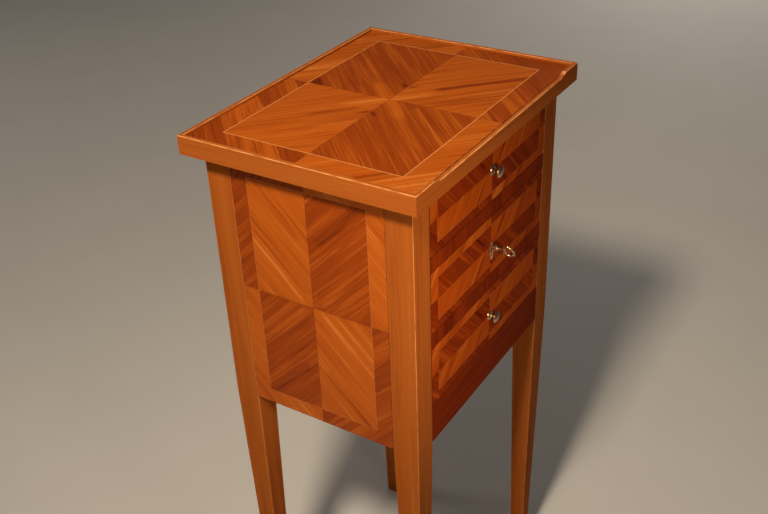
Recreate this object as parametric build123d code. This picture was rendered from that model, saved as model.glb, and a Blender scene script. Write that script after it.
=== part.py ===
from build123d import *
import math
import os

# A small sewing table in marquetry: a shallow tray top over three drawers, on four tapering legs.
# The origin is on the floor, under the centre of the box that holds the table and its key.
# X runs to the right as seen from the drawers' side, Y runs to the back and Z is up. Sizes are in mm.

# Tray top
TABLE_HEIGHT = 750.0
TOP_WIDTH = 364.0
TOP_DEPTH = 279.0
RIM_HEIGHT = 21.0
RIM_THICKNESS = 5.0
LIP_HEIGHT = 3.2
LIP_ROUNDING = 1.1
FRONT_ARRIS = 1.6
EAR_LENGTH = 43.0
EAR_SCOOP = 11.0
SCOOP_FULLNESS = 0.75
SIDE_OVERHANG = 18.5
FRONT_OVERHANG = 15.5
BACK_OVERHANG = 16.5
TOP_BORDER = 27.4
STRING_WIDTH = 1.2

# Legs and case
VENEER = 1.2
LEG_SIZE = 31.0
FOOT_SIZE = 18.0
LEG_ARRIS = 0.6
DRAWER_OPENING = 75.0
RAIL_HEIGHT = 17.3
RAIL_DEPTH = 29.8
APRON_HEIGHT = 50.0
APRON_THICKNESS = 20.0
PANEL_THICKNESS = 10.0
TONGUE_THICKNESS = 5.0
TONGUE_LENGTH = 5.0
TONGUE_STOP = 6.0
TENON_LENGTH = 8.0
TENON_THICKNESS = 10.0
TENON_SHOULDER = 3.0
SIDE_BORDER = 20.5
SIDE_BORDER_ENDS = 18.5

# Drawer runners, guides, stops and the blocks under the top
RUNNER_INNER = 112.0
GUIDE_WIDTH = 10.0
GUIDE_HEIGHT = 12.0
STOP_INNER = 60.0
STOP_WIDTH = 20.0
STOP_HEIGHT = 3.0
STOP_GAP = 0.3
BLOCK_SIZE = 12.0
BLOCK_LENGTH = 40.0
BLOCK_SPACING = 55.0

# Drawers
FRONT_THICKNESS = 16.0
SIDE_GAP = 0.6
FRONT_GAP = 0.7
RUNNING_GAP = 0.5
DRAWER_SIDE = 8.0
DRAWER_DEPTH = 212.0
DRAWER_SIDE_TOP = 71.0
DRAWER_BACK_TOP = 66.0
BOTTOM_THICKNESS = 5.0
BOTTOM_RAISE = 5.5
GROOVE_DEPTH = 3.0
FRONT_GROOVE = 4.0
TAIL_LAP = 10.0
TAIL_NARROW = 6.0
TAIL_WIDE = 8.0
FRONT_TAILS = (17.0, 38.0, 59.0)
BACK_TAILS = (24.0, 50.0)
DRAWER_BORDER = 14.6
DRAWER_BORDER_ENDS = 10.7

# Knobs: the points of the turned profile are (radius, distance out from the drawer's face)
STEM_RADIUS = 2.0
STEM_HOLE = 2.1
STEM_END = 4.5
BASE_EDGE = (5.9, 0.7)
BASE_CURVE = (4.6, 1.9)
NECK_FOOT = (2.4, 2.4)
NECK_WAIST = (1.8, 4.7)
NECK_TOP = (3.0, 7.0)
HEAD_UNDERSIDE = (5.6, 7.9)
HEAD_EDGE = (6.8, 9.1)
HEAD_CURVE = (4.4, 10.9)
HEAD_CROWN = (1.0, 11.7)
NUT_SIZE = 9.0
NUT_THICKNESS = 3.0

# Lock, escutcheon and key of the middle drawer
KEY_DEPTH = 152.3
KEY_REACH = 29.0
KEY_ANGLE = 30.0
KEY_SHAFT = 2.0
KEY_NECK = 1.6
KEY_BORE = 1.0
DRILL_PIN_GAP = 0.05
KEY_COLLAR = 3.4
COLLAR_START = 4.4
COLLAR_END = 5.6
KEY_BEAD = 2.7
BEAD_MIDDLE = 7.2
BIT_RADIUS = 7.5
BIT_THICKNESS = 1.8
BOW_HALF_WIDTH = 9.7
BOW_HALF_LENGTH = 5.7
BOW_WIRE = 1.35
BOW_FOOT_RADIUS = 2.2
BOW_FOOT_LENGTH = 3.0
KEYHOLE_RADIUS = 2.4
KEYHOLE_SLOT = 2.6
PLATE_HALF_WIDTH = 3.8
PLATE_HALF_HEIGHT = 10.8
PLATE_DROP = 5.2
PLATE_THICKNESS = 1.4
PLATE_RIM = 0.9
PLATE_RECESS = 0.4
PIN_RADIUS = 0.4
PIN_HEAD = 0.55
PIN_INSET = 0.75
PIN_LENGTH = 5.0
LOCK_HALF_WIDTH = 20.0
LOCK_FLANGE = 4.0
LOCK_DEPTH = 9.0
LOCK_SHEET = 1.2
LOCK_DROP = 12.0
BOLT_HALF_WIDTH = 7.0
BOLT_TAIL = 12.0
BOLT_TAIL_HEIGHT = 8.0
BOLT_THICKNESS = 3.0
BOLT_RISE = 10.3
BOLT_GAP = 0.4
BOLT_TRAVEL = 6.0
TALON_HALF_WIDTH = 3.0
TALON_DEPTH = 1.6
MORTISE_MARGIN = 2.0
SCREW_HEAD = 1.6
SCREW_SHANK = 1.0
SCREW_LENGTH = 6.5

# The three drawer levels, counted from the top
LEVELS = ("upper", "middle", "lower")
UPPER, MIDDLE, LOWER = range(3)

# Places that follow from the sizes
KEY_OVERHANG = KEY_REACH - FRONT_OVERHANG
TRAY_FRONT = KEY_OVERHANG - (TOP_DEPTH + KEY_OVERHANG) / 2
TRAY_BACK = TRAY_FRONT + TOP_DEPTH
TRAY_MIDDLE = (TRAY_FRONT + TRAY_BACK) / 2
TRAY_HALF = TOP_WIDTH / 2
CASE_FRONT = TRAY_FRONT + FRONT_OVERHANG
CASE_BACK = TRAY_BACK - BACK_OVERHANG
CASE_HALF = TRAY_HALF - SIDE_OVERHANG
CASE_MIDDLE = (CASE_FRONT + CASE_BACK) / 2
CASE_TOP = TABLE_HEIGHT - RIM_HEIGHT
CASE_HEIGHT = 3 * DRAWER_OPENING + 2 * RAIL_HEIGHT + APRON_HEIGHT
CASE_BOTTOM = CASE_TOP - CASE_HEIGHT
SURFACE = TABLE_HEIGHT - LIP_HEIGHT
LEGS_INNER = CASE_HALF - LEG_SIZE
LEGS_FRONT = CASE_FRONT + LEG_SIZE
LEGS_BACK = CASE_BACK - LEG_SIZE
PANEL_INNER = CASE_HALF - VENEER - PANEL_THICKNESS
BACK_INNER = CASE_BACK - VENEER - PANEL_THICKNESS
LEVEL_STEP = DRAWER_OPENING + RAIL_HEIGHT
OPENING_BOTTOMS = tuple(CASE_TOP - DRAWER_OPENING - level * LEVEL_STEP for level in range(len(LEVELS)))
DRAWER_HALF = LEGS_INNER - SIDE_GAP
DRAWER_INNER = DRAWER_HALF - DRAWER_SIDE
FRONT_BACK = CASE_FRONT + FRONT_THICKNESS
DRAWER_END = FRONT_BACK + DRAWER_DEPTH
KEY_Z = TABLE_HEIGHT - KEY_DEPTH
LOCK_TOP = OPENING_BOTTOMS[MIDDLE] + DRAWER_OPENING - FRONT_GAP
LOCK_BOTTOM = KEY_Z - LOCK_DROP
LOCK_FRONT = FRONT_BACK - LOCK_DEPTH
LOCK_BACK_WALL = FRONT_BACK - 2 * LOCK_SHEET


def block(low, high):
    """A box between two opposite corners."""
    size = [high[i] - low[i] for i in range(3)]
    middle = [(high[i] + low[i]) / 2 for i in range(3)]
    return Pos(*middle) * Box(*size)


def both_sides(shape):
    """A shape and its mirror image across the table's middle."""
    return [shape, mirror(shape, Plane.YZ)]


def save(name, *shapes):
    """Write one node: every solid of the shapes given."""
    solids = [solid for shape in shapes for solid in shape.solids()]
    whole = solids[0] if len(solids) == 1 else Compound(solids)
    export_step(whole, f"parts/{name}.step")


# Marquetry -----------------------------------------------------------------------------------------

def field_quarters(half_u, half_v):
    """Four matched rectangles that meet at the middle of a face."""
    quarters = []
    for side_u in (-1, 1):
        for side_v in (-1, 1):
            quarters.append(Pos(side_u * half_u / 2, side_v * half_v / 2) * Rectangle(half_u, half_v))
    return quarters


def border_halves(half_u, half_v, inner_u, inner_v):
    """Eight mitred strips round a field, parted at the middle of each side."""
    strips = []
    for side_u in (-1, 1):
        for side_v in (-1, 1):
            inner = (side_u * inner_u, side_v * inner_v)
            outer = (side_u * half_u, side_v * half_v)
            strips.append(Polygon((0, inner[1]), (0, outer[1]), outer, inner, align=None))
            strips.append(Polygon((inner[0], 0), (outer[0], 0), outer, inner, align=None))
    return strips


def lay(plane, faces, thickness=VENEER):
    """Veneers of one thickness, standing out from a plane."""
    return [extrude(plane * face, thickness, dir=plane.z_dir) for face in faces]


def quartered_veneers(plane, half_u, half_v, border_u, border_v):
    """A quartered field and its crossbanded border, laid on one face."""
    inner_u = half_u - border_u
    inner_v = half_v - border_v
    faces = field_quarters(inner_u, inner_v) + border_halves(half_u, half_v, inner_u, inner_v)
    return lay(plane, faces)


def front_plane(z):
    """The drawers' side of the case, under its veneer."""
    return Plane(origin=(0, CASE_FRONT + VENEER, z), x_dir=(1, 0, 0), z_dir=(0, -1, 0))


# Tray top ------------------------------------------------------------------------------------------

def rim_section(length, height, rounding):
    """An upright strip along X, with its two top edges rounded."""
    section = Rectangle(RIM_THICKNESS, height)
    top = section.vertices().sort_by(Axis.Y)[-2:]
    rounded = Plane.YZ * fillet(top, rounding)
    return Pos(-length / 2, 0, height / 2) * extrude(rounded, length, dir=(1, 0, 0))


def mitred(strip, length):
    """A strip along X cut at 45 degrees at both ends, its outer face towards -Y."""
    outer = length / 2
    inner = outer - RIM_THICKNESS
    half = RIM_THICKNESS / 2
    plan = Polygon((-outer, -half), (outer, -half), (inner, half), (-inner, half), align=None)
    return strip & extrude(plan, 2 * RIM_HEIGHT)


def rim_strip(length):
    """A full lip strip, standing on z = 0."""
    return mitred(rim_section(length, RIM_HEIGHT, LIP_ROUNDING), length)


def ear_shape():
    """Front view of the right-hand corner, where the lip ends in a scoop."""
    outer = TRAY_HALF
    start = outer - EAR_LENGTH + EAR_SCOOP
    end = outer - EAR_LENGTH
    low = RIM_HEIGHT - LIP_HEIGHT
    middle = ((start + end) / 2, RIM_HEIGHT - SCOOP_FULLNESS * LIP_HEIGHT)
    outline = Line((end, 0), (outer, 0)) + Line((outer, 0), (outer, RIM_HEIGHT))
    outline += Line((outer, RIM_HEIGHT), (start, RIM_HEIGHT))
    outline += ThreePointArc((start, RIM_HEIGHT), middle, (end, low))
    outline += Line((end, low), (end, 0))
    return make_face(outline)


def front_rim():
    """The front strip: flush with the surface, with a lip left at both corners only."""
    low_strip = mitred(rim_section(TOP_WIDTH, RIM_HEIGHT - LIP_HEIGHT, FRONT_ARRIS), TOP_WIDTH)
    ear = extrude(Plane.XZ * ear_shape(), RIM_THICKNESS, both=True)
    strip = low_strip
    for corner in both_sides(ear):
        strip += rim_strip(TOP_WIDTH) & corner
    return Pos(0, TRAY_FRONT + RIM_THICKNESS / 2, CASE_TOP) * strip


def back_rim():
    turned = Rot(0, 0, 180) * rim_strip(TOP_WIDTH)
    return Pos(0, TRAY_BACK - RIM_THICKNESS / 2, CASE_TOP) * turned


def left_rim():
    turned = Rot(0, 0, -90) * rim_strip(TOP_DEPTH)
    return Pos(-TRAY_HALF + RIM_THICKNESS / 2, TRAY_MIDDLE, CASE_TOP) * turned


def top_board():
    low = (-TRAY_HALF + RIM_THICKNESS, TRAY_FRONT + RIM_THICKNESS, CASE_TOP)
    high = (TRAY_HALF - RIM_THICKNESS, TRAY_BACK - RIM_THICKNESS, SURFACE - VENEER)
    return block(low, high)


def top_veneers():
    """Field, light string line and border, inside the rim."""
    plane = Plane(origin=(0, TRAY_MIDDLE, SURFACE - VENEER))
    half_u = TRAY_HALF - RIM_THICKNESS
    half_v = TOP_DEPTH / 2 - RIM_THICKNESS
    inner_u = half_u - TOP_BORDER
    inner_v = half_v - TOP_BORDER
    field_u = inner_u - STRING_WIDTH
    field_v = inner_v - STRING_WIDTH
    field = lay(plane, field_quarters(field_u, field_v))
    border = lay(plane, border_halves(half_u, half_v, inner_u, inner_v))
    string_frame = Rectangle(2 * inner_u, 2 * inner_v) - Rectangle(2 * field_u, 2 * field_v)
    return field, border, lay(plane, [string_frame])


# Case ----------------------------------------------------------------------------------------------

def leg_section(size):
    return RectangleRounded(size, size, LEG_ARRIS)


def leg_blank(x, y):
    """Square beside the case, then tapering on all four faces down to the foot."""
    upper = Pos(x, y, CASE_BOTTOM) * extrude(leg_section(LEG_SIZE), CASE_HEIGHT)
    foot = Pos(x, y, 0) * leg_section(FOOT_SIZE)
    shoulder = Pos(x, y, CASE_BOTTOM) * leg_section(LEG_SIZE)
    return upper + loft([foot, shoulder], ruled=True)


def panel(half_length, thickness_low, thickness_high):
    """A case panel along X with a centred tongue at each end; the thickness runs along Y."""
    body = block((-half_length, thickness_low, CASE_BOTTOM), (half_length, thickness_high, CASE_TOP))
    middle = (thickness_low + thickness_high) / 2
    reach = half_length + TONGUE_LENGTH
    low = (-reach, middle - TONGUE_THICKNESS / 2, CASE_BOTTOM + TONGUE_STOP)
    high = (reach, middle + TONGUE_THICKNESS / 2, CASE_TOP)
    return body + block(low, high)


def back_panel():
    return panel(LEGS_INNER, BACK_INNER, CASE_BACK - VENEER)


def left_panel():
    half_length = (LEGS_BACK - LEGS_FRONT) / 2
    along_x = panel(half_length, PANEL_INNER, CASE_HALF - VENEER)
    return Pos(0, CASE_MIDDLE, 0) * (Rot(0, 0, 90) * along_x)


def cross_member(z_low, z_high, depth):
    """A rail or apron between the front legs, with a stub tenon at each end."""
    front = CASE_FRONT + VENEER
    body = block((-LEGS_INNER, front, z_low), (LEGS_INNER, front + depth, z_high))
    reach = LEGS_INNER + TENON_LENGTH
    tenon_front = front + TENON_SHOULDER
    low = (-reach, tenon_front, z_low + TENON_SHOULDER)
    high = (reach, tenon_front + TENON_THICKNESS, z_high - TENON_SHOULDER)
    return body + block(low, high)


def bolt_mortise():
    """The pocket in the upper rail that the lock's bolt rises into."""
    half = BOLT_HALF_WIDTH + MORTISE_MARGIN
    rail_underside = OPENING_BOTTOMS[UPPER] - RAIL_HEIGHT
    top = rail_underside + BOLT_TRAVEL + MORTISE_MARGIN
    return block((-half, LOCK_FRONT, rail_underside), (half, LOCK_BACK_WALL + LOCK_SHEET, top))


def rails():
    """Upper rail, lower rail and apron, each one closing the foot of a drawer opening."""
    upper_z, lower_z, apron_z = OPENING_BOTTOMS
    upper = cross_member(upper_z - RAIL_HEIGHT, upper_z, RAIL_DEPTH) - bolt_mortise()
    lower = cross_member(lower_z - RAIL_HEIGHT, lower_z, RAIL_DEPTH)
    apron = cross_member(CASE_BOTTOM, apron_z, APRON_THICKNESS)
    return upper, lower, apron


def rail_veneer(z_low, z_high):
    middle = (z_low + z_high) / 2
    return lay(front_plane(middle), [Rectangle(2 * LEGS_INNER, z_high - z_low)])


def runner(level):
    """The right-hand runner of one level, notched round the legs so that it reaches front and back."""
    top = OPENING_BOTTOMS[level]
    front = CASE_FRONT + VENEER + (APRON_THICKNESS if level == LOWER else RAIL_DEPTH)
    low = (RUNNER_INNER, LEGS_FRONT, top - RAIL_HEIGHT)
    wide = block(low, (PANEL_INNER, LEGS_BACK, top))
    long = block((RUNNER_INNER, front, low[2]), (LEGS_INNER, BACK_INNER, top))
    return wide + long


def guide(level):
    """A strip on the runner that keeps the drawer in line."""
    low = (LEGS_INNER, LEGS_FRONT, OPENING_BOTTOMS[level])
    high = (LEGS_INNER + GUIDE_WIDTH, LEGS_BACK, OPENING_BOTTOMS[level] + GUIDE_HEIGHT)
    return block(low, high)


def stop(level):
    """A thin block behind the drawer front, which halts the closing drawer flush with the legs."""
    bottom = OPENING_BOTTOMS[level]
    low = (STOP_INNER, FRONT_BACK + STOP_GAP, bottom)
    high = (STOP_INNER + STOP_WIDTH, CASE_FRONT + VENEER + APRON_THICKNESS, bottom + STOP_HEIGHT)
    return block(low, high)


def glue_blocks():
    """Small blocks that tie the side panels to the top."""
    blocks = []
    for offset in (-BLOCK_SPACING, BLOCK_SPACING):
        middle = CASE_MIDDLE + offset
        low = (PANEL_INNER - BLOCK_SIZE, middle - BLOCK_LENGTH / 2, CASE_TOP - BLOCK_SIZE)
        high = (PANEL_INNER, middle + BLOCK_LENGTH / 2, CASE_TOP)
        blocks += both_sides(block(low, high))
    return blocks


# Drawers -------------------------------------------------------------------------------------------

def tail(y_shoulder, y_end, z):
    """One dovetail of the right-hand side, widening from its shoulder to its end."""
    outline = Polygon(
        (y_shoulder, z - TAIL_NARROW),
        (y_end, z - TAIL_WIDE),
        (y_end, z + TAIL_WIDE),
        (y_shoulder, z + TAIL_NARROW),
        align=None,
    )
    return Pos(DRAWER_INNER, 0, 0) * extrude(Plane.YZ * outline, DRAWER_SIDE, dir=(1, 0, 0))


def front_tails(bottom):
    return [tail(FRONT_BACK, FRONT_BACK - TAIL_LAP, bottom + z) for z in FRONT_TAILS]


def back_tails(bottom):
    return [tail(DRAWER_END - DRAWER_SIDE, DRAWER_END, bottom + z) for z in BACK_TAILS]


def drawer_bottom(bottom):
    """A thin board held in grooves at the front and sides, running out under the back."""
    half = DRAWER_INNER + GROOVE_DEPTH
    low = (-half, FRONT_BACK - FRONT_GROOVE, bottom + BOTTOM_RAISE)
    high = (half, DRAWER_END, bottom + BOTTOM_RAISE + BOTTOM_THICKNESS)
    return block(low, high)


def drawer_side(bottom):
    """The right-hand side with its dovetails, grooved for the bottom board."""
    z_low = bottom + RUNNING_GAP
    z_groove = bottom + BOTTOM_RAISE + BOTTOM_THICKNESS
    shoulder = DRAWER_END - DRAWER_SIDE
    side = block((DRAWER_INNER, FRONT_BACK, z_low), (DRAWER_HALF, shoulder, bottom + DRAWER_SIDE_TOP))
    side += block((DRAWER_INNER, shoulder, z_low), (DRAWER_HALF, DRAWER_END, z_groove))
    for dovetail in front_tails(bottom) + back_tails(bottom):
        side += dovetail
    return side - drawer_bottom(bottom)


def drawer_back(bottom):
    z_low = bottom + BOTTOM_RAISE + BOTTOM_THICKNESS
    low = (-DRAWER_HALF, DRAWER_END - DRAWER_SIDE, z_low)
    board = block(low, (DRAWER_HALF, DRAWER_END, bottom + DRAWER_BACK_TOP))
    for dovetail in back_tails(bottom):
        for end in both_sides(dovetail):
            board -= end
    return board


def drawer_front(bottom):
    """The core of a drawer front, with sockets for the dovetails and a groove for the bottom."""
    low = (-DRAWER_HALF, CASE_FRONT + VENEER, bottom + FRONT_GAP)
    core = block(low, (DRAWER_HALF, FRONT_BACK, bottom + DRAWER_OPENING - FRONT_GAP))
    for dovetail in front_tails(bottom):
        for end in both_sides(dovetail):
            core -= end
    return core - drawer_bottom(bottom)


def drawer_veneers(bottom):
    half_v = DRAWER_OPENING / 2 - FRONT_GAP
    plane = front_plane(bottom + DRAWER_OPENING / 2)
    return quartered_veneers(plane, DRAWER_HALF, half_v, DRAWER_BORDER, DRAWER_BORDER_ENDS)


def outward(z):
    """Local frame on the veneered front: its Z axis points out of the drawer, its X axis down."""
    return Plane(origin=(0, CASE_FRONT, z), x_dir=(0, 0, -1), z_dir=(0, -1, 0))


def rod(radius, start, end):
    """A cylinder along Z between two heights."""
    return Pos(0, 0, (start + end) / 2) * Cylinder(radius, end - start)


# Knobs ---------------------------------------------------------------------------------------------

def knob_profile():
    """Half section of a turned knob: threaded stem, round base, waisted neck and mushroom head."""
    stem_end = -FRONT_THICKNESS - STEM_END
    base_foot = (BASE_EDGE[0], 0)
    crown_middle = (0, HEAD_CROWN[1])
    outline = Polyline((0, stem_end), (STEM_RADIUS, stem_end), (STEM_RADIUS, 0), base_foot, BASE_EDGE)
    outline += ThreePointArc(BASE_EDGE, BASE_CURVE, NECK_FOOT)
    outline += ThreePointArc(NECK_FOOT, NECK_WAIST, NECK_TOP)
    outline += ThreePointArc(NECK_TOP, HEAD_UNDERSIDE, HEAD_EDGE)
    outline += ThreePointArc(HEAD_EDGE, HEAD_CURVE, HEAD_CROWN)
    outline += Polyline(HEAD_CROWN, crown_middle, (0, stem_end))
    return Plane.XZ * make_face(outline)


def knob(z):
    return outward(z) * revolve(knob_profile(), Axis.Z)


def knob_nut(z):
    """The square nut inside the drawer that holds the knob's stem."""
    start = -FRONT_THICKNESS - NUT_THICKNESS
    middle = -FRONT_THICKNESS - NUT_THICKNESS / 2
    square = Pos(0, 0, middle) * Box(NUT_SIZE, NUT_SIZE, NUT_THICKNESS)
    return outward(z) * (square - rod(STEM_RADIUS, start, -FRONT_THICKNESS))


def stem_hole(z):
    return outward(z) * rod(STEM_HOLE, -FRONT_THICKNESS, 0)


# Lock ----------------------------------------------------------------------------------------------

def keyhole(depth, above=0.0):
    """A round hole with a slot below it, cut into the front from outside."""
    slot_end = BIT_RADIUS + BOLT_GAP
    slot = Pos(slot_end / 2, 0, (above - depth) / 2) * Box(slot_end, KEYHOLE_SLOT, depth + above)
    return outward(KEY_Z) * (rod(KEYHOLE_RADIUS, -depth, above) + slot)


def escutcheon_pins():
    """Two round-headed pins at the top and bottom of the escutcheon."""
    pins = []
    for side in (-1, 1):
        place = Pos(PLATE_DROP + side * (PLATE_HALF_HEIGHT - PIN_INSET), 0, 0)
        head = Pos(0, 0, PLATE_THICKNESS - PLATE_RECESS) * Sphere(PIN_HEAD)
        pins.append(outward(KEY_Z) * place * (rod(PIN_RADIUS, -PIN_LENGTH, PLATE_THICKNESS / 2) + head))
    return pins


def escutcheon():
    """A small upright oval plate with a raised edge round its keyhole."""
    plate = extrude(Ellipse(PLATE_HALF_HEIGHT, PLATE_HALF_WIDTH), PLATE_THICKNESS)
    dished = Ellipse(PLATE_HALF_HEIGHT - PLATE_RIM, PLATE_HALF_WIDTH - PLATE_RIM)
    plate -= Pos(0, 0, PLATE_THICKNESS - PLATE_RECESS) * extrude(dished, PLATE_RECESS)
    plate = outward(KEY_Z) * Pos(PLATE_DROP, 0, 0) * plate
    plate -= keyhole(0, PLATE_THICKNESS)
    for pin in escutcheon_pins():
        plate -= pin
    return plate


def lock_screws():
    """Four screws through the lock's back plate into the drawer front."""
    screws = []
    offset = LOCK_HALF_WIDTH + LOCK_FLANGE / 2
    for x in (-offset, offset):
        for z in (LOCK_BOTTOM + LOCK_FLANGE, LOCK_TOP - 3 * LOCK_FLANGE):
            place = Plane(origin=(x, FRONT_BACK, z), z_dir=(0, -1, 0))
            shape = rod(SCREW_HEAD, 0, LOCK_SHEET / 2) + rod(SCREW_SHANK, 0, SCREW_LENGTH)
            screws.append(place * shape)
    return screws


def lock_envelope():
    """Everything the lock's case fills: body, back plate and top plate."""
    wide = LOCK_HALF_WIDTH + LOCK_FLANGE
    body = block((-LOCK_HALF_WIDTH, LOCK_FRONT, LOCK_BOTTOM), (LOCK_HALF_WIDTH, FRONT_BACK, LOCK_TOP))
    plate_low = (-wide, FRONT_BACK - LOCK_SHEET, LOCK_BOTTOM - LOCK_FLANGE)
    back_plate = block(plate_low, (wide, FRONT_BACK, LOCK_TOP))
    top_plate = block((-wide, LOCK_FRONT, LOCK_TOP - LOCK_SHEET), (wide, FRONT_BACK, LOCK_TOP))
    return body + back_plate + top_plate


def lock_case():
    """A sheet-iron box with a drill pin for the key, open where the bolt and the key pass."""
    inner = LOCK_HALF_WIDTH - LOCK_SHEET
    low = (-inner, LOCK_FRONT + LOCK_SHEET, LOCK_BOTTOM + LOCK_SHEET)
    cavity = block(low, (inner, LOCK_BACK_WALL, LOCK_TOP - LOCK_SHEET))
    half_slot = BOLT_HALF_WIDTH + BOLT_GAP
    slot_low = (-half_slot, LOCK_FRONT + LOCK_SHEET, LOCK_TOP - LOCK_SHEET)
    slot = block(slot_low, (half_slot, LOCK_BACK_WALL, LOCK_TOP))
    drill_pin = rod(KEY_BORE - DRILL_PIN_GAP, -FRONT_THICKNESS + LOCK_SHEET, -FRONT_THICKNESS + LOCK_DEPTH)
    case = lock_envelope() - cavity - slot
    case -= keyhole(FRONT_THICKNESS - LOCK_DEPTH + LOCK_SHEET)
    case += outward(KEY_Z) * drill_pin
    for screw in lock_screws():
        case -= screw
    return case


def lock_bolt():
    """A flat bolt with a wide tail, flush with the lock's top plate when it is drawn back."""
    middle = (LOCK_FRONT + LOCK_SHEET + LOCK_BACK_WALL) / 2
    front = middle - BOLT_THICKNESS / 2
    back = middle + BOLT_THICKNESS / 2
    bottom = KEY_Z + BOLT_RISE
    head = block((-BOLT_HALF_WIDTH, front, bottom), (BOLT_HALF_WIDTH, back, LOCK_TOP))
    tail_plate = block((-BOLT_TAIL, front, bottom), (BOLT_TAIL, back, bottom + BOLT_TAIL_HEIGHT))
    talon_low = (-TALON_HALF_WIDTH, front, bottom)
    talon = block(talon_low, (TALON_HALF_WIDTH, back, bottom + TALON_DEPTH))
    return head + tail_plate - talon


def key():
    """A hollow-shafted key with a collar, a flat bit and an oval ring bow."""
    turn = math.radians(KEY_ANGLE)
    place = Plane(
        origin=(0, CASE_FRONT, KEY_Z),
        x_dir=(math.sin(turn), 0, -math.cos(turn)),
        z_dir=(0, -1, 0),
    )
    tip = -FRONT_THICKNESS + 2 * LOCK_SHEET + BOLT_GAP
    bow_middle = KEY_REACH - BOW_WIRE - BOW_HALF_LENGTH
    neck = bow_middle - BOW_HALF_LENGTH
    bit_end = -FRONT_THICKNESS + LOCK_DEPTH - LOCK_SHEET - BOLT_GAP
    shape = rod(KEY_SHAFT, tip, COLLAR_END) + rod(KEY_NECK, COLLAR_END, neck)
    shape += Pos(BIT_RADIUS / 2, 0, (tip + bit_end) / 2) * Box(BIT_RADIUS, BIT_THICKNESS, bit_end - tip)
    shape -= rod(KEY_BORE, tip, -FRONT_THICKNESS + LOCK_DEPTH + BOLT_GAP)
    shape += rod(KEY_COLLAR, COLLAR_START, COLLAR_END) + Pos(0, 0, BEAD_MIDDLE) * Sphere(KEY_BEAD)
    shape += Pos(0, 0, neck - BOW_FOOT_LENGTH / 2) * Cone(KEY_NECK, BOW_FOOT_RADIUS, BOW_FOOT_LENGTH)
    ring_plane = Plane(origin=(0, 0, bow_middle), x_dir=(1, 0, 0), z_dir=(0, -1, 0))
    ring_path = Edge.make_ellipse(BOW_HALF_WIDTH, BOW_HALF_LENGTH, ring_plane)
    wire_plane = Plane(origin=ring_path @ 0, z_dir=ring_path % 0)
    shape += sweep(wire_plane * Circle(BOW_WIRE), ring_path)
    return place * shape


# The nodes -----------------------------------------------------------------------------------------

def save_top():
    save("top_board", top_board())
    save("rim_front", front_rim())
    save("rim_back", back_rim())
    left, right = both_sides(left_rim())
    save("rim_left", left)
    save("rim_right", right)
    field, border, string_line = top_veneers()
    save("top_field_veneers", *field)
    save("top_border_veneers", *border)
    save("top_string_line", *string_line)
    save("top_glue_blocks", *glue_blocks())


def save_case():
    left, right = both_sides(left_panel())
    back = back_panel()
    upper, lower, apron = rails()
    for name, shape in (("side_panel_left", left), ("side_panel_right", right), ("back_panel", back)):
        save(name, shape)
    for name, shape in (("upper_rail", upper), ("lower_rail", lower), ("front_apron", apron)):
        save(name, shape)
    x = CASE_HALF - LEG_SIZE / 2
    for side, x_leg, side_panel in (("left", -x, left), ("right", x, right)):
        front_leg = leg_blank(x_leg, CASE_FRONT + LEG_SIZE / 2) - side_panel - upper - lower - apron
        back_leg = leg_blank(x_leg, CASE_BACK - LEG_SIZE / 2) - side_panel - back
        save(f"leg_front_{side}", front_leg)
        save(f"leg_back_{side}", back_leg)
    guides = []
    stops = []
    for level, name in enumerate(LEVELS):
        save(f"{name}_runners", *both_sides(runner(level)))
        guides += both_sides(guide(level))
        stops += both_sides(stop(level))
    save("drawer_guides", *guides)
    save("drawer_stops", *stops)


def save_case_veneers():
    half_height = CASE_HEIGHT / 2
    middle = CASE_BOTTOM + half_height
    core = CASE_HALF - VENEER
    left = Plane(origin=(-core, CASE_MIDDLE, middle), x_dir=(0, -1, 0), z_dir=(-1, 0, 0))
    right = Plane(origin=(core, CASE_MIDDLE, middle), x_dir=(0, 1, 0), z_dir=(1, 0, 0))
    back = Plane(origin=(0, CASE_BACK - VENEER, middle), x_dir=(-1, 0, 0), z_dir=(0, 1, 0))
    half_side = (LEGS_BACK - LEGS_FRONT) / 2
    faces = (("left", left, half_side), ("right", right, half_side), ("back", back, LEGS_INNER))
    for name, plane, half_width in faces:
        veneers = quartered_veneers(plane, half_width, half_height, SIDE_BORDER, SIDE_BORDER_ENDS)
        save(f"{name}_veneers", *veneers)
    upper_z, lower_z, apron_z = OPENING_BOTTOMS
    save("upper_rail_veneer", *rail_veneer(upper_z - RAIL_HEIGHT, upper_z))
    save("lower_rail_veneer", *rail_veneer(lower_z - RAIL_HEIGHT, lower_z))
    save("apron_veneer", *rail_veneer(CASE_BOTTOM, apron_z))


def save_drawer(name, level):
    """A drawer box; the middle one has the lock and the others have a knob."""
    bottom = OPENING_BOTTOMS[level]
    knob_z = bottom + DRAWER_OPENING / 2
    core = drawer_front(bottom)
    veneers = drawer_veneers(bottom)
    if level == MIDDLE:
        core = core - lock_envelope() - keyhole(FRONT_THICKNESS)
        for fastener in lock_screws() + escutcheon_pins():
            core -= fastener
        veneers = [piece - keyhole(VENEER) for piece in veneers]
        for pin in escutcheon_pins():
            veneers = [piece - pin for piece in veneers]
    else:
        core = core - stem_hole(knob_z)
        veneers = [piece - stem_hole(knob_z) for piece in veneers]
        save(f"{name}_knob", knob(knob_z))
        save(f"{name}_knob_nut", knob_nut(knob_z))
    left, right = reversed(both_sides(drawer_side(bottom)))
    save(f"{name}_drawer_front", core)
    save(f"{name}_drawer_side_left", left)
    save(f"{name}_drawer_side_right", right)
    save(f"{name}_drawer_back", drawer_back(bottom))
    save(f"{name}_drawer_bottom", drawer_bottom(bottom))
    save(f"{name}_drawer_veneers", *veneers)


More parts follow.
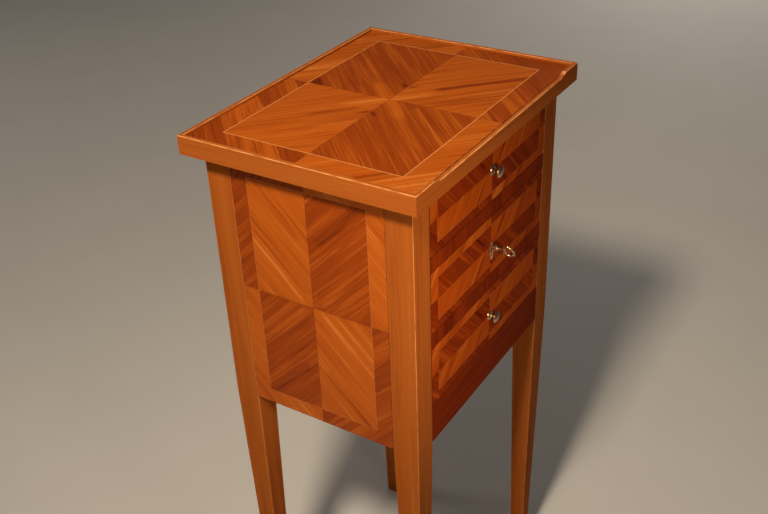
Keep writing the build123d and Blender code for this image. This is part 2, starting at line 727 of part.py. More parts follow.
def save_lock():
    save("lock_case", lock_case())
    save("lock_bolt", lock_bolt())
    save("lock_screws", *lock_screws())
    save("escutcheon", escutcheon())
    save("escutcheon_pins", *escutcheon_pins())
    save("key", key())


os.makedirs("parts", exist_ok=True)
save_top()
save_case()
save_case_veneers()
for drawer_level, drawer_name in enumerate(LEVELS):
    save_drawer(drawer_name, drawer_level)
save_lock()
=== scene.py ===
import math
import bpy
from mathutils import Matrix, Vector


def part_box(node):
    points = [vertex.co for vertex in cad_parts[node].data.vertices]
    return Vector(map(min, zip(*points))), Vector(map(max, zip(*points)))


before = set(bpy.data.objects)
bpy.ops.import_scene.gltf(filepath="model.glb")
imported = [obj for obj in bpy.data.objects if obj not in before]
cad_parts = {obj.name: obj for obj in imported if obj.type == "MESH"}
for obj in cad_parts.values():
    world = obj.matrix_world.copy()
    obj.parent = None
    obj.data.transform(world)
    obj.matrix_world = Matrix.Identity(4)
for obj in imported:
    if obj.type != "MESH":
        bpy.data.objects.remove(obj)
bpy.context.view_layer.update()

# A small marquetry sewing table. The CAD gives every shape; this script gives the finishes, the wear,
# the light and the camera. Lengths are in metres.
MM = 0.001
ROOT_HALF = math.sqrt(0.5)

# The quartered faces, as laid out in the CAD
SIDE_BORDER = 20.5 * MM
SIDE_BORDER_ENDS = 18.5 * MM
DRAWER_BORDER = 14.6 * MM
DRAWER_BORDER_ENDS = 10.7 * MM

# How wide the slips of veneer are that a border or a rail is pieced from
STRIP_WIDTH = 23 * MM
RAIL_STRIP_WIDTH = 26 * MM

# Lengths over which a long streak comes and goes
STREAK_FADE_IN = 12 * MM
STREAK_FADE_OUT = 25 * MM

# Colours of the woods, from heartwood streaks to sapwood
HEARTWOOD = (0.115, 0.016, 0.002, 1)
RED_WOOD = (0.250, 0.041, 0.004, 1)
ORANGE_WOOD = (0.420, 0.091, 0.008, 1)
SAPWOOD = (0.610, 0.200, 0.034, 1)
SEAM = (0.060, 0.018, 0.008, 1)
STRINGING = (0.560, 0.225, 0.065, 1)
# Pale arris colour: partly bare worn wood, partly a painted highlight
BARE_EDGE_AND_HIGHLIGHT = (0.700, 0.330, 0.130, 1)
CASE_WOODS = (HEARTWOOD, RED_WOOD, ORANGE_WOOD, SAPWOOD)

# The legs and the rim are solid wood, a little browner than the veneers
SOLID_WOODS = (
    (0.110, 0.018, 0.004, 1),
    (0.235, 0.045, 0.007, 1),
    (0.372, 0.096, 0.014, 1),
    (0.560, 0.215, 0.052, 1),
)

# The drawers' side is veneered in a redder wood; these colours are also painted darker and redder as
# painted shade, for the shade the front stands in
FRONT_WOODS_REDDER_AND_SHADED = (
    (0.085, 0.007, 0.001, 1),
    (0.210, 0.022, 0.001, 1),
    (0.390, 0.060, 0.003, 1),
    (0.580, 0.150, 0.016, 1),
)

# How strongly the polish mirrors the room
POLISHED = 0.25
DULLED = 0.06

# Secondary woods inside
CARCASE_LIGHT = (0.40, 0.26, 0.14, 1)
CARCASE_DARK = (0.22, 0.125, 0.06, 1)
DRAWER_LIGHT = (0.47, 0.33, 0.19, 1)
DRAWER_DARK = (0.29, 0.18, 0.095, 1)
OAK_PORES = (0.10, 0.055, 0.03, 1)
OAK_DUST = (0.36, 0.31, 0.25, 1)

# Metals: each brass is (rubbed bright, tarnished, roughness where it is clean)
KNOB_BRASS = ((0.80, 0.56, 0.34, 1), (0.19, 0.080, 0.035, 1), 0.12)
# The plate's brass is painted paler and brighter than the knobs', a painted highlight for the light the
# plate catches
PLATE_BRASS_PAINTED_BRIGHT = ((0.95, 0.74, 0.50, 1), (0.40, 0.22, 0.11, 1), 0.26)
KEY_BRASS = ((0.86, 0.68, 0.42, 1), (0.36, 0.23, 0.11, 1), 0.12)
DARK_IRON = (0.15, 0.14, 0.13, 1)
RUST = (0.17, 0.065, 0.025, 1)

# Tones on a wood's ramp of colours, from 0 for heartwood to 1 for sapwood
VENEER_TONE = 0.53
RIM_TONE = 0.62
LEG_TONE = 0.61
APRON_TONE = 0.24
RAIL_TONE = 0.03
PORE_SHADE = 0.10

# How far the joins' dark colour and the arrises' pale one cover the wood; the arrises' pale colour is
# partly wear and partly a painted highlight
JOIN_COVER = 0.5
OUTER_JOIN_COVER = 0.8
ARRIS_WEAR_AND_HIGHLIGHT_COVER = 0.75
MITRE_STRENGTH = 0.35

# Painted sheen: how much grain that rises to the right is painted lighter, and grain that falls painted
# darker, for the polish's sheen that changes with the grain's direction
TOP_PAINTED_SHEEN = -0.095
SIDE_PAINTED_SHEEN = -0.125
DRAWER_PAINTED_SHEEN = 0.145

# How plainly the pale line between field and border shows
SIDE_LINE = 0.35
DRAWER_LINE = 0.3

# How fine the marks in the wood are: waves per metre across the grain and along it
WANDER = (30, 10)
BANDS = (60, 3)
STREAKS = (250, 7)
DARK_LINES = (430, 9)
LIGHT_LINES = (390, 10)
THREADS = (1000, 14)
PORES = (2600, 260)
MATCHED_BANDS = (95, 6)
STREAK_EDGE = (500, 30)
SOLID_BEND = (9, 5)
SOLID_BANDS = (90, 2.5)
SOLID_STREAKS = (420, 6)
SOLID_LINES = (1500, 18)
SOLID_PORES = (2600, 240)
OAK_RINGS = (60, 3)
OAK_FIBRE = (700, 25)
OAK_PORE_MARKS = (1600, 110)

# The room: a round floor, and an even background that lights the table less than the camera sees of it
FLOOR_RADIUS = 40.0
FLOOR_SIDES = 96
FLOOR_DARK = (0.66, 0.645, 0.62, 1)
FLOOR_LIGHT = (0.72, 0.705, 0.68, 1)
ROOM_COLOUR = (1.0, 0.93, 0.84, 1)
ROOM_LIGHT = 0.065
ROOM_SEEN = 0.22
FAR_LIGHT_AIM = (0.0, 0.0, 0.6)
FAR_LIGHT_COLOUR = (1.0, 0.90, 0.80)

# The camera: millimetres, metres and degrees
CAMERA_LENS = 47.47
CAMERA_SENSOR = 36.0
CAMERA_PLACE = (-0.8555, -0.5348, 1.1725)
CAMERA_TURN = (58.34, 2.07, -58.21)

X_AXIS, Y_AXIS, Z_AXIS = range(3)


# Nodes ---------------------------------------------------------------------------------------------

class Value:
    """A number worked out by a material's nodes, used with ordinary arithmetic."""

    def __init__(self, graph, socket):
        self.graph = graph
        self.socket = socket

    def __add__(self, other):
        return self.graph.math("ADD", self, other)

    def __sub__(self, other):
        return self.graph.math("SUBTRACT", self, other)

    def __rsub__(self, other):
        return self.graph.math("SUBTRACT", other, self)

    def __mul__(self, other):
        return self.graph.math("MULTIPLY", self, other)

    def __abs__(self):
        return self.graph.math("ABSOLUTE", self)

    __radd__ = __add__

    def sign(self):
        return self.graph.math("SIGN", self)

    def below(self, limit):
        return self.graph.math("LESS_THAN", self, limit)

    def least(self, other):
        return self.graph.math("MINIMUM", self, other)

    def most(self, other):
        return self.graph.math("MAXIMUM", self, other)


class Graph:
    """One material's node tree, with short ways to add to it."""

    def __init__(self, name):
        self.material = bpy.data.materials.new(name)
        self.material.use_nodes = True
        self.tree = self.material.node_tree
        self.tree.nodes.clear()
        self.shader = self.node("ShaderNodeBsdfPrincipled")
        output = self.node("ShaderNodeOutputMaterial")
        self.tree.links.new(self.shader.outputs["BSDF"], output.inputs["Surface"])

    def node(self, kind, **settings):
        made = self.tree.nodes.new(kind)
        for name, setting in settings.items():
            setattr(made, name, setting)
        return made

    def fill(self, socket, value):
        """Link a worked-out value to a socket, or set a plain number or colour on it."""
        if isinstance(value, Value):
            self.tree.links.new(value.socket, socket)
        else:
            socket.default_value = value

    def set(self, **inputs):
        """Fill the shader's own sockets; a name's underscores stand for spaces."""
        for name, value in inputs.items():
            self.fill(self.shader.inputs[name.replace("_", " ")], value)

    def math(self, operation, first, second=0.0):
        made = self.node("ShaderNodeMath", operation=operation)
        self.fill(made.inputs[0], first)
        self.fill(made.inputs[1], second)
        return Value(self, made.outputs[0])

    def place(self):
        """The point's x, y and z in its CAD body's own frame."""
        where = self.node("ShaderNodeTexCoord")
        split = self.node("ShaderNodeSeparateXYZ")
        self.tree.links.new(where.outputs["Object"], split.inputs[0])
        return [Value(self, output) for output in split.outputs]

    def noise(self, x, y, z, detail=2.0, roughness=0.5):
        """Smooth noise about 0.5; each coordinate is already in units of the grain's size."""
        point = self.node("ShaderNodeCombineXYZ")
        for socket, value in zip(point.inputs, (x, y, z)):
            self.fill(socket, value)
        made = self.node("ShaderNodeTexNoise", noise_dimensions="3D")
        self.tree.links.new(point.outputs[0], made.inputs["Vector"])
        made.inputs["Scale"].default_value = 1.0
        made.inputs["Detail"].default_value = detail
        made.inputs["Roughness"].default_value = roughness
        return Value(self, made.outputs[0])

    def mottle(self, place, per_metre, shift=0.0, **settings):
        """Noise that is the same size in every direction."""
        x, y, z = [value * per_metre for value in place]
        return self.noise(x, y, z + shift if shift else z, **settings)

    def marks(self, across, along, fineness, piece, **settings):
        """Noise drawn out along a sheet's grain; each piece of veneer has its own."""
        per_metre_across, per_metre_along = fineness
        return self.noise(across * per_metre_across, along * per_metre_along, piece, **settings)

    def solid_marks(self, first, second, along, fineness, seed, **settings):
        """Noise drawn out along a solid board's grain."""
        per_metre_across, per_metre_along = fineness
        ends = along * per_metre_along + seed
        return self.noise(first * per_metre_across, second * per_metre_across, ends, **settings)

    def span(self, value, low, high, to_low=0.0, to_high=1.0):
        """A smooth step from to_low to to_high as the value goes from low to high."""
        made = self.node("ShaderNodeMapRange", interpolation_type="SMOOTHSTEP")
        for socket, number in zip(made.inputs, (value, low, high, to_low, to_high)):
            self.fill(socket, number)
        return Value(self, made.outputs[0])

    def choose(self, factor, first, second):
        """first where the factor is 0, second where it is 1."""
        return first + (second - first) * factor

    def mix(self, factor, first, second):
        """A colour between two colours."""
        made = self.node("ShaderNodeMix", data_type="RGBA")
        colour_inputs = [socket for socket in made.inputs if socket.type == "RGBA"]
        self.fill(made.inputs[0], factor)
        self.fill(colour_inputs[0], first)
        self.fill(colour_inputs[1], second)
        return Value(self, [socket for socket in made.outputs if socket.type == "RGBA"][0])

    def ramp(self, value, *stops):
        """A colour from evenly spaced colour stops."""
        made = self.node("ShaderNodeValToRGB")
        made.color_ramp.interpolation = "EASE"
        elements = made.color_ramp.elements
        while len(elements) < len(stops):
            elements.new(0.5)
        for index, colour in enumerate(stops):
            elements[index].position = index / (len(stops) - 1)
            elements[index].color = colour
        self.fill(made.inputs[0], value)
        return Value(self, made.outputs[0])

    def bump(self, height, depth):
        """Raise the surface by height, where 1 stands for depth metres."""
        made = self.node("ShaderNodeBump")
        made.inputs["Strength"].default_value = 1.0
        made.inputs["Distance"].default_value = depth
        self.fill(made.inputs["Height"], height)
        return Value(self, made.outputs[0])

    def normal(self):
        """The surface's direction as x, y and z."""
        flat = self.node("ShaderNodeNewGeometry")
        split = self.node("ShaderNodeSeparateXYZ")
        self.tree.links.new(flat.outputs["Normal"], split.inputs[0])
        return [Value(self, output) for output in split.outputs]

    def arris(self):
        """1 on a rounded edge between square faces, 0 on the faces."""
        x, y, z = self.normal()
        return self.span(abs(x).most(abs(y)).most(abs(z)), 0.995, 0.90)

    def edge(self, radius):
        """How near a point is to a sharp edge, from 0 to 1."""
        soft = self.node("ShaderNodeBevel", samples=6)
        soft.inputs["Radius"].default_value = radius
        flat = self.node("ShaderNodeNewGeometry")
        dot = self.node("ShaderNodeVectorMath", operation="DOT_PRODUCT")
        self.tree.links.new(soft.outputs[0], dot.inputs[0])
        self.tree.links.new(flat.outputs["Normal"], dot.inputs[1])
        return self.span(Value(self, dot.outputs["Value"]), 0.98, 0.80)


# Woods ---------------------------------------------------------------------------------------------

def figure(graph, across, along, piece):
    """The figure of straight-grained veneer about 0: broad bands, streaks, crisp lines and dark pores."""
    wander_across, wander_along = WANDER
    wander = graph.noise(along * wander_along, across * wander_across, piece + 4.0) - 0.5
    across = across + wander * (3 * MM)
    bands = graph.marks(across, along, BANDS, piece, detail=1.0) - 0.5
    streaks = graph.marks(across, along, STREAKS, piece + 1.0, detail=4.0, roughness=0.7) - 0.5
    dark_lines = graph.span(graph.marks(across, along, DARK_LINES, piece + 5.0), 0.56, 0.66)
    light_lines = graph.span(graph.marks(across, along, LIGHT_LINES, piece + 6.0), 0.58, 0.70)
    threads = graph.marks(across, along, THREADS, piece + 2.0) - 0.5
    pores = graph.marks(across, along, PORES, piece + 3.0, detail=1.0)
    pores = graph.span(pores, 0.60, 0.74)
    lines = light_lines * 0.20 - dark_lines * 0.20 + threads * 0.32
    return bands * 0.45 + streaks * 0.90 + lines, pores


def polish(graph, colour, pores, seam=0.0, gloss=POLISHED):
    """Old French polish: satin, a little uneven, slightly sunk in the pores and at the seams."""
    place = graph.place()
    cloud = graph.mottle(place, 30, detail=3.0)
    rubbed = graph.mottle(place, 140)
    wave = graph.mottle(place, 45, detail=1.0)
    roughness = 0.26 + cloud * 0.16 + rubbed * 0.08 + pores * 0.08
    height = wave * 0.9 - pores * 0.07 - seam * 0.5
    surface = graph.bump(height, 0.12 * MM)
    graph.set(Base_Color=colour, Roughness=roughness, Normal=surface, Coat_Normal=surface)
    graph.set(IOR=1.5, Specular_IOR_Level=0.0, Coat_Weight=gloss, Coat_Roughness=0.20, Coat_IOR=1.5)
    return graph.material


class Face:
    """A quartered face: where its middle is, which way it looks, and how large its field is."""

    def __init__(self, node, across_axis, up_axis, border=0.0, border_ends=0.0, mirrored=False):
        low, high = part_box(node)
        self.middle = (low + high) / 2
        self.size = (high - low) / 2
        self.u_axis = across_axis
        self.v_axis = up_axis
        self.half_u = self.size[across_axis] - border
        self.half_v = self.size[up_axis] - border_ends
        self.border = max(border, MM)
        self.border_ends = max(border_ends, MM)
        self.mirrored = mirrored

    def coordinates(self, graph):
        place = graph.place()
        u = place[self.u_axis] - self.middle[self.u_axis]
        v = place[self.v_axis] - self.middle[self.v_axis]
        return (u * -1.0 if self.mirrored else u), v


def marquetry(name, face, painted_sheen, features, seed, line=0.0, woods=CASE_WOODS, gloss=POLISHED):
    """Quartered veneer: the field's grain spreads from the middle, and the border's runs against it.
    Grain that rises to the right is painted lighter and grain that falls painted darker: a painted sheen
    that follows the grain's direction."""
    graph = Graph(name)
    u, v = face.coordinates(graph)
    a = abs(u)
    b = abs(v)
    quarter = u.sign() * v.sign()
    field = a.below(face.half_u) * b.below(face.half_v)
    rising = quarter * (field * 2.0 - 1.0)
    sum_ab = (a + b) * ROOT_HALF
    difference = (a - b) * ROOT_HALF
    across = graph.choose(field, sum_ab, difference)
    along = graph.choose(field, difference, sum_ab)
    matched = field * 11.0 + seed
    piece = matched + u.sign() * 1.3 + v.sign() * 2.9

    grain, pores = figure(graph, across, along, piece)
    bands = graph.marks(across, along, MATCHED_BANDS, matched) - 0.5
    strip = graph.math("FLOOR", across * (1 / STRIP_WIDTH) + graph.noise(along * 20, piece, seed) * 0.3)
    strip_tone = graph.noise(strip * 3.7, piece, seed, detail=0.0) - 0.5
    # The first term is painted sheen: the tone is painted lighter or darker by the grain's direction
    tone = rising * painted_sheen + VENEER_TONE + grain * 0.62 + bands * 0.45 - pores * PORE_SHADE
    tone = tone + (1.0 - field) * strip_tone * 0.55
    for feature in features:
        tone = tone + streak(graph, u, v, across, along, field, *feature)
    colour = graph.ramp(tone, *woods)

    join, border_line, outer_join = joints(graph, face, u, v, a, b, seed)
    colour = graph.mix(border_line * line, colour, STRINGING)
    colour = graph.mix(join * JOIN_COVER, colour, SEAM)
    colour = graph.mix(outer_join * OUTER_JOIN_COVER, colour, SEAM)
    return polish(graph, colour, pores, seam=join.most(border_line).most(outer_join), gloss=gloss)


def joints(graph, face, u, v, a, b, seed):
    """Where the quarters and mitres meet, where field meets border, and the chipped outer edge."""
    join = graph.span(a.least(b), 0.1 * MM, 0.45 * MM, 1.0, 0.0)
    over_u = a - face.half_u
    over_v = b - face.half_v
    mitre = abs(over_u * (1 / face.border) - over_v * (1 / face.border_ends))
    in_corner = (1.0 - a.below(face.half_u)) * (1.0 - b.below(face.half_v))
    join = join.most(graph.span(mitre, 0.01, 0.03, MITRE_STRENGTH, 0.0) * in_corner)
    border_line = graph.span(abs(over_u.most(over_v)), 0.15 * MM, 0.55 * MM, 1.0, 0.0)
    to_edge = (face.size[face.u_axis] - a).least(face.size[face.v_axis] - b)
    nicks = graph.span(graph.noise(u * 190, v * 190, seed, detail=4.0, roughness=0.7), 0.35, 0.60)
    outer_join = graph.span(to_edge, 0.3 * MM, 0.9 * MM, 1.0, 0.0) * nicks
    return join, border_line, outer_join


def streak(graph, u, v, across, along, field, where, width, start, end, strength, sides=(0, 0)):
    """One light or dark streak of the field, beside the diagonal; sides keeps it to one half or quarter."""
    edge = graph.marks(across, along, STREAK_EDGE, 8.0) - 0.5
    offset = abs(across - where + edge * (width * 0.7))
    body = graph.span(offset, width * 0.3, width, 1.0, 0.0)
    fade_in = graph.span(along, start, start + STREAK_FADE_IN)
    fade_out = graph.span(along, end - STREAK_FADE_OUT, end, 1.0, 0.0)
    body = body * fade_in * fade_out
    mask = field * body * strength
    for side, coordinate in zip(sides, (u, v)):
        if side:
            mask = mask * (coordinate * side * -1.0).below(0.0)
    return mask


def crossband(name, node, seed):
    """Short pieces of upright grain, side by side along a rail."""
    graph = Graph(name)
    low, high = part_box(node)
    x, y, z = graph.place()
    shifted = (x - low.x) * (1 / RAIL_STRIP_WIDTH) + (graph.noise(x * 12, 0.0, seed) - 0.5) * 0.8
    index = graph.math("FLOOR", shifted)
    within = graph.math("FRACT", shifted)
    grain, pores = figure(graph, x, z, index * 3.7 + seed)
    tone = graph.noise(index * 5.3, seed, 0.5, detail=0.0) * 0.5 + RAIL_TONE
    tone = tone + grain * 0.5 - pores * PORE_SHADE
    # These front colours include painted shade: darker and redder than the lit sides
    colour = graph.ramp(tone, *FRONT_WOODS_REDDER_AND_SHADED)
    seam = graph.span(abs(within - 0.5), 0.485, 0.495)
    colour = graph.mix(seam * JOIN_COVER, colour, SEAM)
    return polish(graph, colour, pores, seam=seam, gloss=DULLED)


def plain_veneer(name, tone_level, seed):
    """One wide sheet of straight-grained veneer, its grain along X."""
    graph = Graph(name)
    place = graph.place()
    along = place[X_AXIS]
    across = place[Z_AXIS]
    grain, pores = figure(graph, across, along, seed)
    # These front colours include painted shade: darker and redder than the lit sides
    colour = graph.ramp(grain * 0.45 + tone_level - pores * PORE_SHADE, *FRONT_WOODS_REDDER_AND_SHADED)
    return polish(graph, colour, pores, gloss=DULLED)


def solid_wood(name, along_axis, tone_level, seed, gloss=POLISHED):
    """Straight-grained solid wood with long soft bands, and paler arrises: partly rubbed wear, partly a
    painted highlight.
    """
    graph = Graph(name)
    place = graph.place()
    along = place[along_axis]
    first, second = [value for axis, value in enumerate(place) if axis != along_axis]
    bend = graph.solid_marks(first, second, along, SOLID_BEND, seed, detail=1.0) - 0.5
    first = first + bend * (9 * MM)
    second = second + bend * (6 * MM)
    bands = graph.solid_marks(first, second, along, SOLID_BANDS, seed) - 0.5
    streaks = graph.solid_marks(first, second, along, SOLID_STREAKS, seed, detail=3.0) - 0.5
    lines = graph.solid_marks(first, second, along, SOLID_LINES, seed, detail=1.0) - 0.5
    pores = graph.solid_marks(first, second, along, SOLID_PORES, seed, detail=1.0)
    pores = graph.span(pores, 0.60, 0.74)
    tone = tone_level + bands * 0.50 + streaks * 0.36 + lines * 0.16 - pores * 0.08
    colour = graph.ramp(tone, *SOLID_WOODS)
    handled = graph.mottle(place, 60, shift=seed, detail=4.0)
    # Paler arrises: partly wear, partly a painted highlight along the edges
    wear_and_highlight = graph.arris() * graph.span(handled, 0.25, 0.60)
    colour = graph.mix(wear_and_highlight * ARRIS_WEAR_AND_HIGHLIGHT_COVER, colour, BARE_EDGE_AND_HIGHLIGHT)
    return polish(graph, colour, pores, gloss=gloss)


def string_line():
    """A thin line of pale wood let in round the top's field."""
    graph = Graph("string_line")
    place = graph.place()
    grain = graph.mottle(place, 160, detail=3.0)
    colour = graph.ramp(grain, ORANGE_WOOD, STRINGING, STRINGING, SAPWOOD)
    pores = graph.span(graph.mottle(place, 900), 0.62, 0.75)
    return polish(graph, colour, pores)


def bare_oak(name, along_axis, light, dark, seed):
    """Planed secondary wood, dull and open-pored, a little grey with dust and age."""
    graph = Graph(name)
    place = graph.place()
    along = place[along_axis]
    first, second = [value for axis, value in enumerate(place) if axis != along_axis]
    rings = graph.solid_marks(first, second, along, OAK_RINGS, seed, detail=3.0)
    fibre = graph.solid_marks(first, second, along, OAK_FIBRE, seed, detail=3.0)
    pores = graph.solid_marks(first, second, along, OAK_PORE_MARKS, seed, detail=1.0)
    pores = graph.span(pores, 0.58, 0.68)
    dust = graph.mottle(place, 25, shift=seed, detail=4.0)
    colour = graph.mix(graph.span(rings, 0.3, 0.7), dark, light)
    colour = graph.mix(graph.span(fibre, 0.35, 0.75) * 0.35, colour, dark)
    colour = graph.mix(pores * 0.55, colour, OAK_PORES)
    colour = graph.mix(graph.span(dust, 0.45, 0.8) * 0.35, colour, OAK_DUST)
    surface = graph.bump(fibre * 0.6 - pores * 0.8 + rings * 0.4, 0.15 * MM)
    graph.set(Base_Color=colour, Roughness=0.62 + fibre * 0.2, Normal=surface, Specular_IOR_Level=0.3)
    return graph.material


# Metals --------------------------------------------------------------------------------------------

def brass(name, bright, tarnish, roughness):
    """Old brass: tarnished brown in scattered patches, rubbed bright at its edges."""
    graph = Graph(name)
    x, y, z = graph.place()
    patina = graph.mottle((x, y, z), 260, detail=4.0, roughness=0.6)
    scratches = graph.noise(x * 3200, y * 900, z * 2600)
    worn = graph.edge(0.8 * MM)
    stain = graph.span(patina, 0.36, 0.64) * (1.0 - worn * 0.8)
    colour = graph.mix(stain * 0.85, bright, tarnish)
    level = stain * 0.22 + scratches * 0.08 + roughness
    surface = graph.bump(scratches * 0.5 + patina * 0.5, 0.03 * MM)
    graph.set(Base_Color=colour, Metallic=1.0, Roughness=level, Normal=surface)
    return graph.material


def lock_iron():
    """Sheet iron, dark with age, with a little brown rust."""
    graph = Graph("lock_iron")
    place = graph.place()
    cloud = graph.mottle(place, 130, detail=5.0, roughness=0.65)
    grit = graph.mottle(place, 1500)
    rust = graph.span(cloud, 0.52, 0.68)
    colour = graph.mix(rust * 0.8, DARK_IRON, RUST)
    surface = graph.bump(grit * 0.5 + rust * 0.5, 0.08 * MM)
    graph.set(Base_Color=colour, Metallic=0.85, Roughness=rust * 0.3 + grit * 0.1 + 0.38, Normal=surface)
    return graph.material


# Putting the finishes on the nodes -----------------------------------------------------------------

def paint(material, *nodes):
    """Give each node's object one material for all of its faces."""
    for node in nodes:
        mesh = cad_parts[node].data
        mesh.materials.clear()
        mesh.materials.append(material)


def paint_top():
    """The top's field and border, in one pattern, and the line between them."""
    field = Face("top_field_veneers", X_AXIS, Y_AXIS)
    outer = Face("top_border_veneers", X_AXIS, Y_AXIS)
    outer.border = outer.half_u - field.half_u
    outer.border_ends = outer.half_v - field.half_v
    outer.half_u = field.half_u
    outer.half_v = field.half_v
    # Each streak is (offset from the diagonal, width, start, end, strength, sides)
    features = (
        (25 * MM, 4 * MM, 22 * MM, 48 * MM, -0.55),
        (9 * MM, 6 * MM, 50 * MM, 190 * MM, -0.36, (1, -1)),
        (-68 * MM, 11 * MM, 55 * MM, 100 * MM, -0.40, (1, 1)),
        (0, 11 * MM, -20 * MM, 62 * MM, 0.16),
        (-22 * MM, 2.5 * MM, 25 * MM, 150 * MM, 0.22, (-1, -1)),
        (12 * MM, 4 * MM, 30 * MM, 100 * MM, -0.22, (-1, 1)),
    )
    material = marquetry("top_marquetry", outer, TOP_PAINTED_SHEEN, features, seed=3.0)
    paint(material, "top_field_veneers", "top_border_veneers")
    paint(string_line(), "top_string_line")


def paint_sides():
    """Both sides and the back, each with its own run of the same veneer."""
    features = (
        (5 * MM, 3.5 * MM, 6 * MM, 125 * MM, 0.15),
        (-6 * MM, 4 * MM, 10 * MM, 120 * MM, -0.12),
        (-48 * MM, 9 * MM, 60 * MM, 190 * MM, -0.12),
    )
    sizes = (SIDE_BORDER, SIDE_BORDER_ENDS)
    left = Face("left_veneers", Y_AXIS, Z_AXIS, *sizes, mirrored=True)
    right = Face("right_veneers", Y_AXIS, Z_AXIS, *sizes)
    back = Face("back_veneers", X_AXIS, Z_AXIS, *sizes, mirrored=True)
    for number, (name, face) in enumerate((("left", left), ("right", right), ("back", back))):
        look = {"seed": 20.0 + 9 * number, "line": SIDE_LINE}
        material = marquetry(f"{name}_marquetry", face, SIDE_PAINTED_SHEEN, features, **look)
        paint(material, f"{name}_veneers")


def paint_drawers():
    """The drawers' veneered fronts, and their bare boards."""
    features = ((6 * MM, 3 * MM, 10 * MM, 90 * MM, -0.2),)
    boards_across = bare_oak("drawer_oak_across", X_AXIS, DRAWER_LIGHT, DRAWER_DARK, 81.0)
    boards_deep = bare_oak("drawer_oak_deep", Y_AXIS, DRAWER_LIGHT, DRAWER_DARK, 83.0)
    for number, level in enumerate(("upper", "middle", "lower")):
        node = f"{level}_drawer_veneers"
        face = Face(node, X_AXIS, Z_AXIS, DRAWER_BORDER, DRAWER_BORDER_ENDS)
        # The drawer fronts' colours include painted shade: darker and redder than the lit sides
        look = {"seed": 60.0 + 9 * number, "line": DRAWER_LINE, "woods": FRONT_WOODS_REDDER_AND_SHADED, "gloss": DULLED}
        material = marquetry(f"{level}_drawer_marquetry", face, DRAWER_PAINTED_SHEEN, features, **look)
        paint(material, node)
        paint(boards_across, f"{level}_drawer_front", f"{level}_drawer_back", f"{level}_drawer_bottom")
        paint(boards_deep, f"{level}_drawer_side_left", f"{level}_drawer_side_right")


def paint_show_wood():
    """The veneered rails and apron, and the solid rim and legs."""
    paint(crossband("upper_rail_crossband", "upper_rail_veneer", 5.0), "upper_rail_veneer")
    paint(crossband("lower_rail_crossband", "lower_rail_veneer", 9.0), "lower_rail_veneer")
    paint(plain_veneer("apron_veneer", APRON_TONE, 14.0), "apron_veneer")
    paint(solid_wood("rim_wood_across", X_AXIS, RIM_TONE, 31.0, DULLED), "rim_front", "rim_back")
    paint(solid_wood("rim_wood_deep", Y_AXIS, RIM_TONE, 37.0), "rim_left", "rim_right")
    for end in ("front", "back"):
        for number, side in enumerate(("left", "right")):
            seed = 41.0 + 7 * number
            material = solid_wood(f"leg_wood_{end}_{side}", Z_AXIS, LEG_TONE, seed, DULLED)
            paint(material, f"leg_{end}_{side}")


def paint_carcase():
    """The bare boards behind the veneers, by the way that their grain runs."""
    boards = (
        ("across", X_AXIS, 71.0, (
            "top_board", "back_panel", "upper_rail", "lower_rail", "front_apron", "drawer_stops",
        )),
        ("deep", Y_AXIS, 73.0, (
            "upper_runners", "middle_runners", "lower_runners", "drawer_guides", "top_glue_blocks",
        )),
        ("upright", Z_AXIS, 77.0, ("side_panel_left", "side_panel_right")),
    )
    for direction, axis, seed, nodes in boards:
        material = bare_oak(f"carcase_oak_{direction}", axis, CARCASE_LIGHT, CARCASE_DARK, seed)
        paint(material, *nodes)


def paint_metal():
    """Brass on show, and iron inside."""
    paint(brass("aged_brass", *KNOB_BRASS), "upper_knob", "lower_knob")
    # The escutcheon's brighter brass is a painted highlight
    paint(brass("plate_brass_painted_bright", *PLATE_BRASS_PAINTED_BRIGHT), "escutcheon", "escutcheon_pins")
    paint(brass("key_brass", *KEY_BRASS), "key")
    paint(lock_iron(), "lock_case", "lock_bolt", "lock_screws", "upper_knob_nut", "lower_knob_nut")


# Floor, light and camera ---------------------------------------------------------------------------

def floor():
    """A large round pale floor under the table."""
    mesh = bpy.data.meshes.new("floor")
    turns = [2 * math.pi * index / FLOOR_SIDES for index in range(FLOOR_SIDES)]
    corners = [(FLOOR_RADIUS * math.cos(turn), FLOOR_RADIUS * math.sin(turn), 0) for turn in turns]
    mesh.from_pydata(corners, [], [tuple(range(FLOOR_SIDES))])
    made = bpy.data.objects.new("floor", mesh)
    bpy.context.scene.collection.objects.link(made)
    graph = Graph("pale_floor")
    x, y, z = graph.place()
    mottle = graph.noise(x * 6, y * 6, z, detail=5.0)
    graph.set(Base_Color=graph.mix(mottle, FLOOR_DARK, FLOOR_LIGHT), Roughness=0.7)
    mesh.materials.append(graph.material)


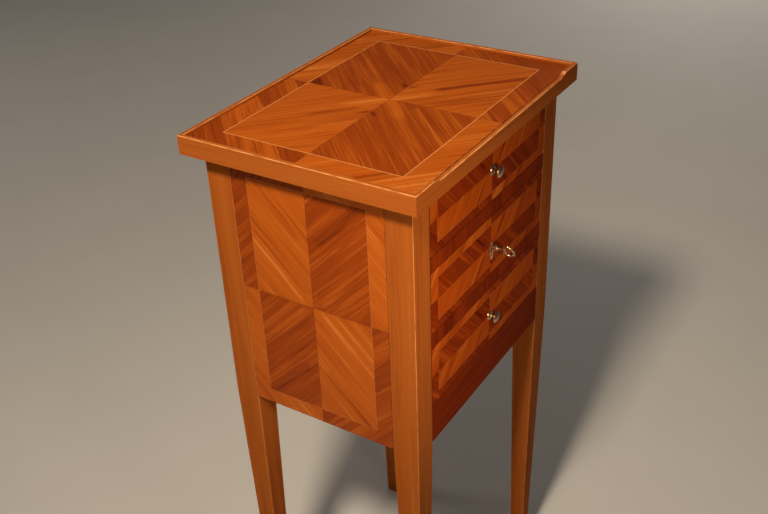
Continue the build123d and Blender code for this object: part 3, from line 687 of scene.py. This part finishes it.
def area_light(name, place, target, size, power, colour, spread=180.0):
    """A round soft light: size in metres, power in watts, spread in degrees."""
    data = bpy.data.lights.new(name, "AREA")
    data.spread = math.radians(spread)
    data.shape = "DISK"
    data.size = size
    data.energy = power
    data.color = colour
    made = bpy.data.objects.new(name, data)
    made.location = place
    made.rotation_euler = (Vector(target) - Vector(place)).to_track_quat("-Z", "Y").to_euler()
    bpy.context.scene.collection.objects.link(made)


def surroundings():
    """An even pale room, dimmer in its light on the table than it looks behind it."""
    world = bpy.data.worlds.new("pale_room")
    world.use_nodes = True
    background = world.node_tree.nodes["Background"]
    background.inputs["Color"].default_value = ROOM_COLOUR
    rays = world.node_tree.nodes.new("ShaderNodeLightPath")
    strength = world.node_tree.nodes.new("ShaderNodeMapRange")
    strength.inputs["To Min"].default_value = ROOM_LIGHT
    strength.inputs["To Max"].default_value = ROOM_SEEN
    world.node_tree.links.new(rays.outputs["Is Camera Ray"], strength.inputs["Value"])
    world.node_tree.links.new(strength.outputs["Result"], background.inputs["Strength"])
    bpy.context.scene.world = world


def camera():
    """Above the left front corner, looking down along the table's diagonal."""
    data = bpy.data.cameras.new("camera")
    data.lens = CAMERA_LENS
    data.sensor_width = CAMERA_SENSOR
    made = bpy.data.objects.new("camera", data)
    made.location = CAMERA_PLACE
    made.rotation_euler = [math.radians(angle) for angle in CAMERA_TURN]
    bpy.context.scene.collection.objects.link(made)
    bpy.context.scene.camera = made


def lights():
    """A warm lamp high on the left, a weak one at the front corner, and two broad ones far off."""
    area_light("key_light", (-1.05, -0.20, 1.85), (0.0, 0.0, 0.76), 0.22, 13.8, (1.0, 0.83, 0.62), 120.0)
    corner = (-0.16, -0.117, 0.62)
    area_light("front_light", (-0.38, -0.66, 0.74), corner, 0.25, 0.42, (1.0, 0.80, 0.58), 58.0)
    area_light("right_light", (3.6, 0.6, 1.2), FAR_LIGHT_AIM, 1.4, 15.0, FAR_LIGHT_COLOUR)
    area_light("back_light", (-0.6, 3.6, 1.3), FAR_LIGHT_AIM, 1.4, 18.0, FAR_LIGHT_COLOUR)


paint_top()
paint_sides()
paint_drawers()
paint_show_wood()
paint_carcase()
paint_metal()
floor()
surroundings()
lights()
camera()
bpy.context.scene.view_settings.view_transform = "Standard"
